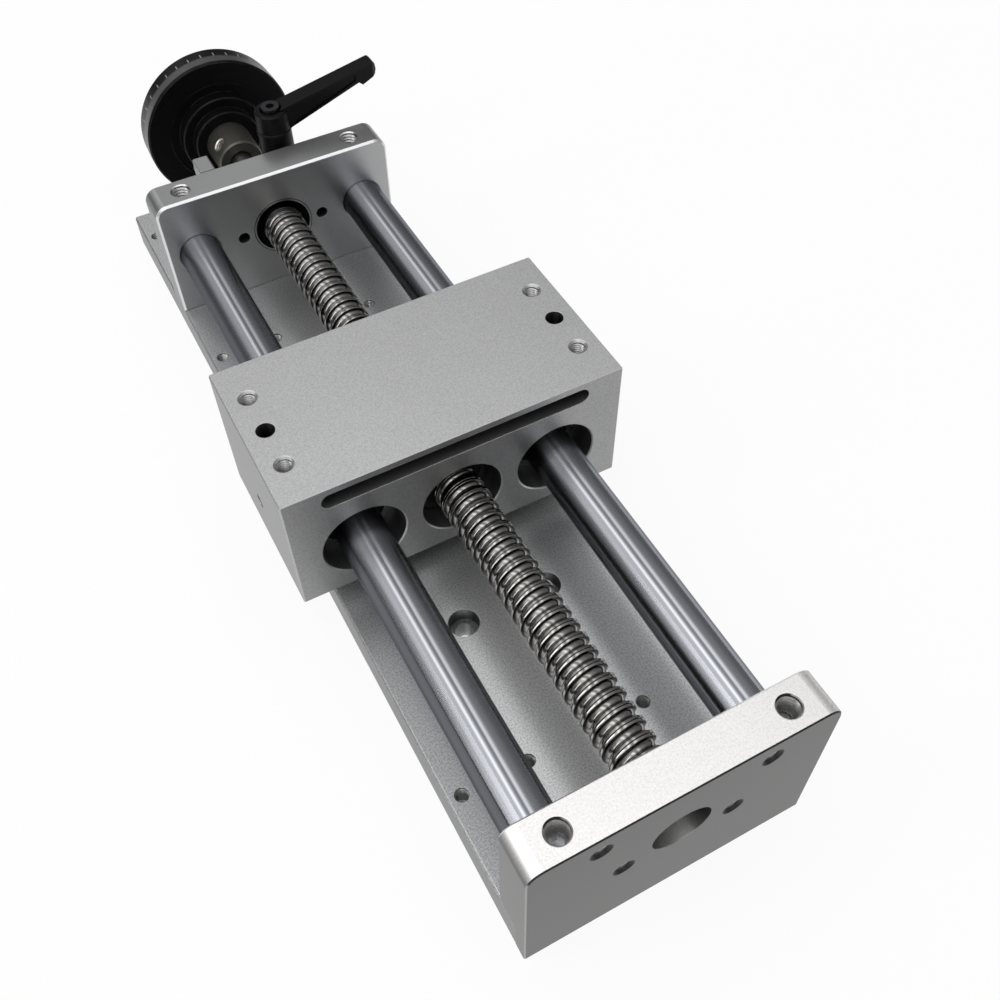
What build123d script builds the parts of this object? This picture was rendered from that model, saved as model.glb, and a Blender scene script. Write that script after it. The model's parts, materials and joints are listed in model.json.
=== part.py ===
"""Manual linear translation stage.

A carriage runs on two round guide rods between two end plates on a base plate.
A ball screw along the middle drives it. A handwheel turns the screw, and a split
block with a clamping lever locks the shaft.

Frame: millimetres, +Z up, +Y along the travel towards the handwheel, X across.
The origin is on the underside of the base plate, midway between the end plates.
"""

from math import cos, radians, sin, tan

from build123d import *
import os

os.makedirs("parts", exist_ok=True)

# ---------------------------------------------------------------- driving dimensions

# Frame
inner_span = 264.5  # between the inner faces of the end plates
base_width = 93.0
base_thickness = 13.5
rear_overhang = 54.0  # base plate behind the drive end plate
plate_thickness = 14.0
plate_top = 63.0
plate_corner = 5.0
plate_lap = 9.0  # how far the base plate reaches under the idle end plate
edge_break = 0.6
plate_break = 0.8  # broken edges of the drive end plate
idle_break = 0.4

# Guides and spindle
axis_height = 38.75
rod_diameter = 16.0
rod_spacing = 68.0
rod_engagement = 10.0
screw_diameter = 16.0
screw_neck = 1.0  # turned-down neck at each end of the thread

# Carriage
stroke = 200.0
carriage_width = 115.0
carriage_length = 60.0
carriage_bottom = 19.5
carriage_top = 68.75
carriage_rest = 7.5  # carriage centre in the drawn position
slot_width = 90.6
slot_height = 6.0
slot_roof = 2.4
table_hole_x = 100.0
table_hole_y = 30.0
table_hole_depth = 15.0

# Linear bushings and nut
bushing_diameter = 28.0
bushing_length = 37.0
bushing_wall = 2.3
seal_thickness = 2.0
nut_diameter = 28.0
nut_length = 42.0
wiper_thickness = 2.5

# Ball bearings: bore, outside diameter, width
idle_bore, idle_outside, idle_width = 8.0, 22.0, 7.0
drive_bore, drive_outside, drive_width = 12.0, 24.0, 6.0
ring_wall = 1.5
shield_thickness = 0.4

# Drive shaft
clamp_shaft = 10.0
wheel_shaft = 8.0
lock_nut_diameter = 18.0
lock_nut_thickness = 5.0

# Handwheel
wheel_diameter = 63.0
wheel_standoff = 57.25  # rim's front face behind the drive end plate
wheel_width = 12.0
bevel_width = 5.5
collar_diameter = 18.8
collar_length = 15.5
boss_step = 4.5
hub_screw_inset = 6.6  # from the collar's front face
hub_screw_sunk = 1.8  # below the collar's surface
hub_screw_hex = 3.0
hub_screw_tilt = 44.0  # turned from straight up towards -X

# Shaft clamp and its lever
clamp_thickness = 16.0
clamp_height = 50.0
clamp_left, clamp_right = -24.0, 19.0
clamp_slit = 1.5
ear_width, ear_depth = 6.0, 9.0
lever_x = 9.8
lever_offset = 8.5  # lever axis behind the drive end plate
barrel_height = 22.9
barrel_bottom, barrel_skirt, barrel_bead, barrel_neck = 13.3, 13.1, 13.6, 12.3
skirt_height = 14.0  # plain skirt below the bead round the barrel
bead_height = 1.2
arm_stand = 0.9  # the arm's root stands above the barrel's top
head_stand = 1.3  # the retaining screw's head stands above it too
insert_bore_depth = 7.0
arm_length = 43.8
arm_root_width, arm_tip_width = 7.4, 6.8
arm_root_depth, arm_end_depth, grip_depth = 9.6, 4.9, 6.6
arm_slope = 11.0  # the top of the arm rises at this angle
grip_length = 8.0
panel_inset, panel_depth = 1.2, 0.5  # sunk panel on each side of the arm
lever_lift = 3.0  # how far the handle pulls up against its spring

# Fixing holes in the base plate
mount_x, mount_y = 30.0, 100.0
small_hole_x, small_hole_y = 40.0, 202.0
edge_hole_x = 84.0
rear_hole_inset = 16.5
small_hole_radius = 2.25

# Screw sizes (major diameters) and clearances
m3, m4, m5, m6 = 3.0, 4.0, 5.0, 6.0
m4_head, m5_head = 3.5, 4.25  # cap screw head radii
m3_head = 2.75
sink_radius_m4, sink_radius_m5, sink_radius_m6 = 3.7, 4.6, 5.1  # counterbore radii
rod_set_screw = 6.7  # M8 set screw drawn at its core diameter
rod_set_mouth = 3.75
fixing_screw = 4.6  # M5 screw drawn between its core and its crest
face_hole_radius = 2.5
face_hole_mouth = 3.4
face_hole_depth = 10.0
clamp_screw_reach = 8.0
slip = 0.02  # radial play of a seated piece
running = 0.05  # radial play of a running fit
air = 0.3  # radial gap between parts that pass without touching

# ---------------------------------------------------------------- derived places

idle_inner = -inner_span / 2
idle_outer = idle_inner - plate_thickness
drive_inner = inner_span / 2
drive_outer = drive_inner + plate_thickness
base_front = idle_inner - plate_lap
base_rear = drive_outer + rear_overhang
drive_middle = drive_inner + plate_thickness / 2
idle_middle = idle_inner - plate_thickness / 2
lap_middle = idle_inner - plate_lap / 2
rod_x = rod_spacing / 2
rod_radius = rod_diameter / 2
screw_radius = screw_diameter / 2
carriage_front = carriage_rest - carriage_length / 2
carriage_back = carriage_rest + carriage_length / 2
table_height = carriage_top - carriage_bottom
bushing_front = carriage_rest - bushing_length / 2
bushing_back = carriage_rest + bushing_length / 2
sleeve_bore = bushing_diameter / 2 - bushing_wall
clamp_back = drive_outer + clamp_thickness
wheel_face = drive_outer + wheel_standoff
lever_y = drive_outer + lever_offset
collar_back = wheel_face - 2 * boss_step
collar_front = collar_back - collar_length

# Working planes and axes
spindle = Axis((0, 0, axis_height), (0, 1, 0))
turning = Plane(origin=(0, 0, axis_height), x_dir=(0, 1, 0), z_dir=(1, 0, 0))
underside = Plane(origin=(0, 0, 0), x_dir=(1, 0, 0), z_dir=(0, 0, -1))
idle_face = Plane.XZ.offset(-idle_outer)


def across(y):
    """Plane across the travel at y: local x is X, local y is Z."""
    return Plane.XZ.offset(-y)


def bar(x, z, y0, y1, radius, mode=Mode.ADD):
    """Round bar along Y from y0 to y1, centred on (x, z)."""
    with BuildSketch(across(y1)) as section:
        with Locations((x, z)):
            Circle(radius)
    extrude(section.sketch, amount=y1 - y0, mode=mode)


def tube(x, z, y0, y1, outer, inner):
    """Round tube along Y."""
    with BuildSketch(across(y1)) as section:
        with Locations((x, z)):
            Circle(outer)
            Circle(inner, mode=Mode.SUBTRACT)
    extrude(section.sketch, amount=y1 - y0)


def pin(x, y, z0, z1, radius, mode=Mode.ADD):
    """Round pin along Z from z0 to z1."""
    with BuildSketch(Plane.XY.offset(z0)) as section:
        with Locations((x, y)):
            Circle(radius)
    extrude(section.sketch, amount=z1 - z0, mode=mode)


def turned(*profile):
    """Body of revolution about the spindle from (y, radius) points."""
    with BuildSketch(turning) as section:
        with BuildLine():
            Polyline(*profile, close=True)
        make_face()
    revolve(section.sketch, axis=spindle)


def finish(part, name):
    """Label a finished piece and write it."""
    part.label = name
    export_step(part, f"parts/{name}.step")


# ---------------------------------------------------------------- fixed frame

# Fixing screws from below: four in each end plate, two in the clamp block.
plate_screw_x = (-38.0, -12.0, 12.0, 38.0)
clamp_foot_x = (-15.0, 11.0)
plate_screw_bite = 12.0
clamp_screw_bite = 9.0
head_recess = 0.5

with BuildPart() as base_plate:
    with BuildSketch(Plane.XY):
        with Locations((0, (base_front + base_rear) / 2)):
            Rectangle(base_width, base_rear - base_front)
    extrude(amount=base_thickness)
    chamfer(base_plate.edges().filter_by(Axis.Y), edge_break)
    chamfer(base_plate.edges().filter_by(Axis.Z).group_by(Axis.Y)[-1], edge_break)
    with Locations((0, 0, base_thickness)):
        with GridLocations(mount_x, mount_y, 2, 2):
            CounterBoreHole(m6 / 2 + air, sink_radius_m6, m6)
        with GridLocations(small_hole_x, small_hole_y, 2, 2):
            Hole(small_hole_radius)
        with GridLocations(edge_hole_x, small_hole_y, 2, 2):
            Hole(small_hole_radius)
        with Locations((0, base_rear - rear_hole_inset)):
            with GridLocations(edge_hole_x, 1, 2, 1):
                Hole(small_hole_radius)
    with Locations(underside):
        with Locations(*[(x, -lap_middle) for x in plate_screw_x]):
            CounterBoreHole(m4 / 2 + 0.25, sink_radius_m4, m4 + head_recess)
        with Locations(*[(x, -drive_middle) for x in plate_screw_x]):
            CounterBoreHole(m5 / 2 + 0.25, sink_radius_m5, m5 + head_recess)
        with Locations(*[(x, -lever_y) for x in clamp_foot_x]):
            CounterBoreHole(m5 / 2 + 0.25, sink_radius_m5, m5 + head_recess)
finish(base_plate.part, "base_plate")


def cap_screw(x, y, size, head_radius, top):
    """Socket cap screw from below: head in the base plate, shank up to `top`."""
    pin(x, y, head_recess, head_recess + size, head_radius)
    pin(x, y, head_recess + size, top, size / 2)
    with BuildSketch(Plane.XY.offset(head_recess)) as socket:
        with Locations((x, y)):
            RegularPolygon(size * 0.45, 6)
    extrude(socket.sketch, amount=size * 0.5, mode=Mode.SUBTRACT)


with BuildPart() as idle_plate_screws:
    for x in plate_screw_x:
        cap_screw(x, lap_middle, m4, m4_head, base_thickness + plate_screw_bite)
finish(idle_plate_screws.part, "idle_plate_screws")

with BuildPart() as drive_plate_screws:
    for x in plate_screw_x:
        cap_screw(x, drive_middle, m5, m5_head, base_thickness + plate_screw_bite)
finish(drive_plate_screws.part, "drive_plate_screws")

with BuildPart() as clamp_foot_screws:
    for x in clamp_foot_x:
        cap_screw(x, lever_y, m5, m5_head, base_thickness + clamp_screw_bite)
finish(clamp_foot_screws.part, "clamp_foot_screws")


def end_plate_blank(y0, foot):
    """End plate from z = foot to the top, with rounded top corners and broken edges."""
    with BuildSketch(across(y0 + plate_thickness)) as section:
        with BuildLine():
            Line((-base_width / 2, foot), (base_width / 2, foot))
            FilletPolyline(
                (base_width / 2, foot),
                (base_width / 2, plate_top),
                (-base_width / 2, plate_top),
                (-base_width / 2, foot),
                radius=plate_corner,
            )
        make_face()
    extrude(section.sketch, amount=plate_thickness)


def rod_set_screw_holes(y):
    """Tapped holes from the plate's top down to the guide rods."""
    for x in (-rod_x, rod_x):
        with Locations((x, y, plate_top)):
            CounterSinkHole(rod_set_screw / 2 + slip, rod_set_mouth, plate_top - axis_height)


idle_set_y = idle_middle
drive_set_y = drive_middle
high_hole_x, high_hole_z = 51.0, 54.8
low_hole_x, low_hole_z = 34.4, 32.8
window_radius = 9.1

with BuildPart() as idle_end_plate:
    end_plate_blank(idle_outer, 0)
    front = idle_end_plate.faces().sort_by(Axis.Y)[0]
    back = idle_end_plate.faces().sort_by(Axis.Y)[-1]
    chamfer(front.edges() + back.edges(), idle_break)
    with BuildSketch(across(idle_inner)):
        with Locations((0, base_thickness / 2)):
            Rectangle(base_width, base_thickness)
    extrude(amount=plate_lap, mode=Mode.SUBTRACT)
    bar(0, axis_height, idle_outer, idle_inner, window_radius, Mode.SUBTRACT)
    bar(0, axis_height, idle_inner - idle_width, idle_inner, idle_outside / 2 + slip, Mode.SUBTRACT)
    for x in (-rod_x, rod_x):
        bar(x, axis_height, idle_inner - rod_engagement - air, idle_inner, rod_radius + slip, Mode.SUBTRACT)
    rod_set_screw_holes(idle_set_y)
    for x in plate_screw_x:
        pin(x, lap_middle, base_thickness, base_thickness + plate_screw_bite + 1, m4 / 2 + slip, Mode.SUBTRACT)
    with Locations(idle_face):
        with Locations((0, high_hole_z)):
            with GridLocations(high_hole_x, 1, 2, 1):
                CounterSinkHole(face_hole_radius, face_hole_mouth, face_hole_depth)
        with Locations((0, low_hole_z)):
            with GridLocations(low_hole_x, 1, 2, 1):
                CounterSinkHole(face_hole_radius, face_hole_mouth, face_hole_depth)
finish(idle_end_plate.part, "idle_end_plate")

rod_mouth = 0.5  # chamfer round each guide rod on the inner faces
face_hole_x = 32.6  # pair of tapped holes beside the drive bearing
ear_screw_x = clamp_left + ear_width / 2
ear_screw_drop = 6.0
ear_screw_z = plate_top - ear_screw_drop
bearing_lip = plate_thickness - 2 * drive_width

with BuildPart() as drive_end_plate:
    end_plate_blank(drive_inner, base_thickness)
    front = drive_end_plate.faces().sort_by(Axis.Y)[0]
    back = drive_end_plate.faces().sort_by(Axis.Y)[-1]
    chamfer(front.edges() + back.edges(), plate_break)
    bar(0, axis_height, drive_inner, drive_outer, drive_outside / 2 - 1.5, Mode.SUBTRACT)
    for y in (drive_inner, drive_outer - drive_width):
        bar(0, axis_height, y, y + drive_width, drive_outside / 2 + slip, Mode.SUBTRACT)
    for x in (-rod_x, rod_x):
        bar(x, axis_height, drive_inner, drive_inner + rod_engagement + air, rod_radius + slip, Mode.SUBTRACT)
    rod_set_screw_holes(drive_set_y)
    for x in plate_screw_x:
        pin(x, drive_middle, base_thickness, base_thickness + plate_screw_bite + 1, m5 / 2 + slip, Mode.SUBTRACT)
    for x in (-face_hole_x / 2, face_hole_x / 2):
        bar(x, axis_height, drive_inner, drive_outer, fixing_screw / 2 + slip, Mode.SUBTRACT)
    ear_hole = drive_outer - clamp_screw_reach - 1
    bar(ear_screw_x, ear_screw_z, ear_hole, drive_outer, m3 / 2 + slip, Mode.SUBTRACT)
    mouths = drive_end_plate.faces().sort_by(Axis.Y)[0].edges().filter_by(GeomType.CIRCLE)
    chamfer(mouths.filter_by(lambda e: e.radius > rod_radius - 1 and e.radius < rod_radius + 1), rod_mouth)
finish(drive_end_plate.part, "drive_end_plate")

for side, x in (("left", -rod_x), ("right", rod_x)):
    with BuildPart() as guide_rod:
        bar(x, axis_height, idle_inner - rod_engagement, drive_inner + rod_engagement, rod_radius)
        chamfer(guide_rod.edges(), 0.5)
    finish(guide_rod.part, f"guide_rod_{side}")

set_screw_length = 8.0
rod_crown = axis_height + rod_radius

with BuildPart() as rod_set_screws:
    for y in (idle_set_y, drive_set_y):
        for x in (-rod_x, rod_x):
            pin(x, y, rod_crown + slip, rod_crown + set_screw_length, rod_set_screw / 2)
            with BuildSketch(Plane.XY.offset(rod_crown + set_screw_length)):
                with Locations((x, y)):
                    RegularPolygon(2.0, 6, major_radius=False)
            extrude(amount=-3, mode=Mode.SUBTRACT)
finish(rod_set_screws.part, "rod_set_screws")

# ---------------------------------------------------------------- bearings


def outer_ring(y0, width, bore, outside):
    """Bearing outer ring with a shield on each side, stopping short of the inner ring."""
    race = outside / 2 - ring_wall
    lip = bore / 2 + ring_wall + air
    turned(
        (y0, lip),
        (y0, outside / 2),
        (y0 + width, outside / 2),
        (y0 + width, lip),
        (y0 + width - shield_thickness, lip),
        (y0 + width - shield_thickness, race),
        (y0 + shield_thickness, race),
        (y0 + shield_thickness, lip),
    )


idle_seat = idle_inner - idle_width
drive_seats = (drive_inner, drive_outer - drive_width)

with BuildPart() as idle_bearing_outer:
    outer_ring(idle_seat, idle_width, idle_bore, idle_outside)
finish(idle_bearing_outer.part, "idle_bearing_outer")

with BuildPart() as idle_bearing_inner:
    tube(0, axis_height, idle_seat, idle_inner, idle_bore / 2 + ring_wall, idle_bore / 2 + slip)
finish(idle_bearing_inner.part, "idle_bearing_inner")

with BuildPart() as drive_bearing_outers:
    for y in drive_seats:
        outer_ring(y, drive_width, drive_bore, drive_outside)
finish(drive_bearing_outers.part, "drive_bearing_outers")

with BuildPart() as drive_bearing_inners:
    for y in drive_seats:
        tube(0, axis_height, y, y + drive_width, drive_bore / 2 + ring_wall, drive_bore / 2 + slip)
finish(drive_bearing_inners.part, "drive_bearing_inners")

# The inner rings are kept apart by a thin distance ring inside the plate's lip.
with BuildPart() as bearing_spacer:
    tube(
        0,
        axis_height,
        drive_inner + drive_width,
        drive_outer - drive_width,
        drive_bore / 2 + ring_wall,
        drive_bore / 2 + slip,
    )
finish(bearing_spacer.part, "bearing_spacer")

# ---------------------------------------------------------------- ball screw and its shaft

thread_front = idle_inner + screw_neck
thread_back = drive_inner - screw_neck
shaft_end = wheel_face + wheel_width - 3.0
clamp_shaft_end = clamp_back + 4.0
nut_back = drive_outer + lock_nut_thickness

with BuildPart() as ball_screw:
    with BuildSketch(turning):
        with BuildLine():
            Polyline(
                (idle_seat - 1, 0),
                (idle_seat - 1, idle_bore / 2),
                (idle_inner, idle_bore / 2),
                (idle_inner, idle_bore / 2 + ring_wall),
                (thread_front, idle_bore / 2 + ring_wall),
                (thread_front, screw_radius),
                (thread_back, screw_radius),
                (thread_back, drive_bore / 2 + ring_wall),
                (drive_inner, drive_bore / 2 + ring_wall),
                (drive_inner, drive_bore / 2),
                (nut_back, drive_bore / 2),
                (nut_back, clamp_shaft / 2),
                (clamp_shaft_end, clamp_shaft / 2),
                (clamp_shaft_end, wheel_shaft / 2),
                (shaft_end, wheel_shaft / 2),
                (shaft_end, 0),
                close=True,
            )
        make_face()
    revolve(axis=spindle)
    ends = ball_screw.edges().filter_by(GeomType.CIRCLE).sort_by(Axis.Y)
    chamfer([ends[0], ends[-1]], 0.5)
finish(ball_screw.part, "ball_screw")

with BuildPart() as lock_nut:
    tube(0, axis_height, drive_outer, nut_back, lock_nut_diameter / 2, drive_bore / 2 + slip)
    with BuildSketch(across(nut_back)):
        with Locations((0, axis_height)):
            with PolarLocations(lock_nut_diameter / 2, 4):
                Rectangle(3, 3.5)
    extrude(amount=lock_nut_thickness, mode=Mode.SUBTRACT)
finish(lock_nut.part, "lock_nut")

# ---------------------------------------------------------------- handwheel

wheel_radius = wheel_diameter / 2
collar_radius = collar_diameter / 2
wheel_back = wheel_face + wheel_width
dish_radius = 22.0
outer_boss, inner_boss = 18.0, 14.0
boss_break = 0.4
dish_depth = 3.0
back_rim = 27.0
scale_step = 0.35
bevel_back = wheel_face + bevel_width
ring_seat = wheel_radius - 3.0

# Turned wheel: stepped boss in front, shallow dish behind, seat for the dial ring.
with BuildPart() as handwheel:
    turned(
        (collar_back, collar_radius + slip),
        (collar_back, inner_boss - boss_break),
        (collar_back + boss_break, inner_boss),
        (collar_back + boss_step, inner_boss),
        (collar_back + boss_step, outer_boss - boss_break),
        (collar_back + boss_step + boss_break, outer_boss),
        (wheel_face + 0.8, outer_boss),
        (wheel_face + 0.8, dish_radius),
        (wheel_face, dish_radius),
        (wheel_face, wheel_radius - 0.6),
        (wheel_face + 0.6, wheel_radius),
        (wheel_face + 1.2, wheel_radius),
        (wheel_face + 1.2, ring_seat),
        (wheel_back, ring_seat),
        (wheel_back, back_rim),
        (wheel_back - dish_depth, back_rim - dish_depth),
        (wheel_back - dish_depth, collar_radius + slip),
    )
finish(handwheel.part, "handwheel")

# Dial ring: a bright band in front and the graduated band behind it.
with BuildPart() as dial_ring:
    turned(
        (wheel_face + 1.2, ring_seat + slip),
        (wheel_face + 1.2, wheel_radius),
        (bevel_back, wheel_radius),
        (bevel_back + scale_step, wheel_radius - scale_step),
        (wheel_back - 0.6, wheel_radius - scale_step),
        (wheel_back, wheel_radius - scale_step - 0.6),
        (wheel_back, ring_seat + slip),
    )
finish(dial_ring.part, "dial_ring")

hub_screw_y = collar_front + hub_screw_inset
hub_set_plane = Plane(
    origin=(0, hub_screw_y, axis_height),
    x_dir=(0, 1, 0),
    z_dir=(-sin(radians(hub_screw_tilt)), 0, cos(radians(hub_screw_tilt))),
)

with BuildPart() as hub_collar:
    turned(
        (collar_front, wheel_shaft / 2 + 1.2),
        (collar_front, collar_radius - 0.6),
        (collar_front + 0.6, collar_radius),
        (wheel_back - dish_depth, collar_radius),
        (wheel_back - dish_depth, wheel_shaft / 2 + slip),
        (collar_front + 1.2, wheel_shaft / 2 + slip),
    )
    with BuildSketch(hub_set_plane):
        Circle(m6 / 2 + slip)
    extrude(amount=collar_radius + 1, mode=Mode.SUBTRACT)
finish(hub_collar.part, "hub_collar")

with BuildPart() as hub_set_screw:
    with BuildSketch(hub_set_plane.offset(wheel_shaft / 2 + slip)):
        Circle(m6 / 2)
    extrude(amount=collar_radius - wheel_shaft / 2 - hub_screw_sunk)
    with BuildSketch(hub_set_plane.offset(collar_radius - hub_screw_sunk)):
        RegularPolygon(hub_screw_hex / 2, 6, major_radius=False)
    extrude(amount=-2, mode=Mode.SUBTRACT)
finish(hub_set_screw.part, "hub_set_screw")

# ---------------------------------------------------------------- carriage

bore_radius = bushing_diameter / 2 + slip
table_radius = 2.5
table_mouth = 3.2
plain_hole_radius = 3.0
side_screw_length = 8.0
nut_screw_length = 4.5
slot_z = carriage_top - slot_roof - slot_height / 2

with BuildPart() as carriage_block:
    with BuildSketch(across(carriage_back)):
        with Locations((0, carriage_bottom + table_height / 2)):
            Rectangle(carriage_width, table_height)
        with Locations((-rod_x, axis_height), (0, axis_height), (rod_x, axis_height)):
            Circle(bore_radius, mode=Mode.SUBTRACT)
        with Locations((0, slot_z)):
            SlotOverall(slot_width, slot_height, mode=Mode.SUBTRACT)
    extrude(amount=carriage_length)
    outline = carriage_block.faces().filter_by(Axis.Y).edges().filter_by(GeomType.LINE)
    corners = carriage_block.edges().filter_by(Axis.Y).filter_by(
        lambda e: abs(abs(e.center().X) - carriage_width / 2) < 0.01
    )
    outer = outline.filter_by(lambda e: abs(e.center().Z - slot_z) > slot_height)
    rims = carriage_block.faces().filter_by(Axis.Y).edges().filter_by(GeomType.CIRCLE)
    bores = rims.filter_by(lambda e: e.radius > bore_radius - 1)
    chamfer(outer + corners + bores, 0.4)
    with Locations((0, carriage_rest, carriage_top)):
        with GridLocations(table_hole_x, table_hole_y, 2, 2):
            CounterSinkHole(table_radius, table_mouth, table_hole_depth)
        with GridLocations(table_hole_x, 1, 2, 1):
            Hole(plain_hole_radius, table_hole_depth)
    for x0, x1 in ((-carriage_width / 2, -rod_x), (rod_x, carriage_width / 2)):
        with BuildSketch(Plane.YZ.offset(x0)):
            with Locations((carriage_rest, axis_height)):
                Circle(m5 / 2 + slip)
        extrude(amount=x1 - x0, mode=Mode.SUBTRACT)
    pin(0, carriage_rest, carriage_bottom, axis_height, m5 / 2 + slip, Mode.SUBTRACT)
finish(carriage_block.part, "carriage_block")

groove_inset = 4.5
groove_width = 1.6
groove_depth = 0.7
cage_gap = 0.1
ball_tracks = 5
track_margin, track_width = 3.0, 2.6


def bushing_profile(outer, inner):
    """Sleeve section with two snap-ring grooves in its outside."""
    g0 = bushing_front + groove_inset
    g1 = bushing_back - groove_inset
    neck = outer - groove_depth
    Polyline(
        (bushing_front, inner),
        (bushing_front, outer),
        (g0, outer),
        (g0, neck),
        (g0 + groove_width, neck),
        (g0 + groove_width, outer),
        (g1 - groove_width, outer),
        (g1 - groove_width, neck),
        (g1, neck),
        (g1, outer),
        (bushing_back, outer),
        (bushing_back, inner),
        close=True,
    )


for side, x in (("left", -rod_x), ("right", rod_x)):
    rod_axis = Axis((x, 0, axis_height), (0, 1, 0))
    rod_plane = Plane(origin=(x, 0, axis_height), x_dir=(0, 1, 0), z_dir=(1, 0, 0))

    with BuildPart() as bushing_sleeve:
        with BuildSketch(rod_plane):
            with BuildLine():
                bushing_profile(bushing_diameter / 2, sleeve_bore)
            make_face()
        revolve(axis=rod_axis)
    finish(bushing_sleeve.part, f"bushing_sleeve_{side}")

    cage_front = bushing_front + seal_thickness
    cage_back = bushing_back - seal_thickness
    with BuildPart() as bushing_cage:
        tube(x, axis_height, cage_front, cage_back, sleeve_bore - cage_gap, rod_radius + air)
        for i in range(ball_tracks):
            angle = 360 * i / ball_tracks + 90
            track = Plane(
                origin=(x, carriage_rest, axis_height),
                x_dir=(0, 1, 0),
                z_dir=(cos(radians(angle)), 0, sin(radians(angle))),
            )
            with BuildSketch(track):
                SlotOverall(cage_back - cage_front - 2 * track_margin, track_width)
            extrude(amount=sleeve_bore + 1, mode=Mode.SUBTRACT)
    finish(bushing_cage.part, f"bushing_cage_{side}")

    with BuildPart() as bushing_seals:
        for y in (bushing_front, cage_back):
            tube(x, axis_height, y, y + seal_thickness, sleeve_bore - slip, rod_radius + running)
    finish(bushing_seals.part, f"bushing_seals_{side}")

with BuildPart() as bushing_set_screws:
    for sign in (-1, 1):
        seat = sign * (rod_x + bushing_diameter / 2 + slip)
        with BuildSketch(Plane.YZ.offset(seat)):
            with Locations((carriage_rest, axis_height)):
                Circle(m5 / 2)
        extrude(amount=sign * side_screw_length)
        with BuildSketch(Plane.YZ.offset(seat + sign * side_screw_length)):
            with Locations((carriage_rest, axis_height)):
                RegularPolygon(1.25, 6, major_radius=False)
        extrude(amount=-sign * 2.5, mode=Mode.SUBTRACT)
finish(bushing_set_screws.part, "bushing_set_screws")

nut_front = carriage_rest - nut_length / 2
nut_rear = carriage_rest + nut_length / 2
nut_bore = screw_radius + air
wiper_radius = nut_diameter / 2 - 3.0

with BuildPart() as ball_nut:
    turned(
        (nut_front, wiper_radius),
        (nut_front, nut_diameter / 2 - 0.5),
        (nut_front + 0.5, nut_diameter / 2),
        (nut_rear - 0.5, nut_diameter / 2),
        (nut_rear, nut_diameter / 2 - 0.5),
        (nut_rear, wiper_radius),
        (nut_rear - wiper_thickness, wiper_radius),
        (nut_rear - wiper_thickness, nut_bore),
        (nut_front + wiper_thickness, nut_bore),
        (nut_front + wiper_thickness, wiper_radius),
    )
finish(ball_nut.part, "ball_nut")

with BuildPart() as nut_wipers:
    for y in (nut_front, nut_rear - wiper_thickness):
        tube(0, axis_height, y, y + wiper_thickness, wiper_radius - slip, nut_bore)
finish(nut_wipers.part, "nut_wipers")

nut_seat = axis_height - nut_diameter / 2

with BuildPart() as nut_set_screw:
    pin(0, carriage_rest, nut_seat - slip - nut_screw_length, nut_seat - slip, m5 / 2)
    with BuildSketch(Plane.XY.offset(nut_seat - slip - nut_screw_length)):
        with Locations((0, carriage_rest)):
            RegularPolygon(1.25, 6, major_radius=False)
    extrude(amount=2.5, mode=Mode.SUBTRACT)
finish(nut_set_screw.part, "nut_set_screw")

# ---------------------------------------------------------------- shaft clamp

washer_thickness = 1.2
washer_radius = 6.0
stud_depth = 24.0
nut_pocket = lock_nut_thickness + 1.0
fixing_x = -face_hole_x / 2
fixing_head = 5.0

with BuildPart() as clamp_block:
    with BuildSketch(across(clamp_back)):
        with BuildLine():
            Line((clamp_left, base_thickness), (clamp_right, base_thickness))
            FilletPolyline(
                (clamp_right, base_thickness),
                (clamp_right, clamp_height),
                (clamp_left, clamp_height),
                (clamp_left, base_thickness),
                radius=1.0,
            )
        make_face()
        with Locations((0, axis_height)):
            Circle(clamp_shaft / 2 + running, mode=Mode.SUBTRACT)
        with Locations((clamp_right / 2, axis_height)):
            Rectangle(clamp_right, clamp_slit, mode=Mode.SUBTRACT)
    extrude(amount=clamp_thickness)
    # Ear up the back of the end plate, level with its top.
    with BuildSketch(across(drive_outer + ear_depth)):
        with BuildLine():
            FilletPolyline(
                (clamp_left, clamp_height - 4),
                (clamp_left, plate_top),
                (clamp_left + ear_width, plate_top),
                (clamp_left + ear_width, clamp_height - 4),
                radius=0.6,
            )
            Line((clamp_left + ear_width, clamp_height - 4), (clamp_left, clamp_height - 4))
        make_face()
    extrude(amount=ear_depth)
    bar(0, axis_height, drive_outer, drive_outer + nut_pocket, lock_nut_diameter / 2 + 1, Mode.SUBTRACT)
    # Lever screw: clear through the upper jaw, tapped in the lower one.
    pin(lever_x, lever_y, axis_height, clamp_height, m5 / 2 + air, Mode.SUBTRACT)
    pin(lever_x, lever_y, clamp_height - stud_depth - 1, axis_height, m5 / 2 + running, Mode.SUBTRACT)
    for x in clamp_foot_x:
        pin(x, lever_y, base_thickness, base_thickness + clamp_screw_bite + 1, m5 / 2 + slip, Mode.SUBTRACT)
    bar(fixing_x, axis_height, drive_outer, clamp_back, fixing_screw / 2 + 0.25, Mode.SUBTRACT)
    bar(fixing_x, axis_height, clamp_back - fixing_head, clamp_back, sink_radius_m5, Mode.SUBTRACT)
    bar(ear_screw_x, ear_screw_z, drive_outer, drive_outer + ear_depth, m3 / 2 + 0.2, Mode.SUBTRACT)
finish(clamp_block.part, "clamp_block")


def rear_cap_screw(x, z, seat, tip, size, head_radius, head):
    """Socket cap screw along Y: head behind `seat`, shank forward to `tip`."""
    bar(x, z, seat, seat + head, head_radius)
    bar(x, z, tip, seat, size / 2)
    with BuildSketch(across(seat + head)) as socket:
        with Locations((x, z)):
            RegularPolygon(size * 0.45, 6)
    extrude(socket.sketch, amount=size * 0.5, mode=Mode.SUBTRACT)


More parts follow.
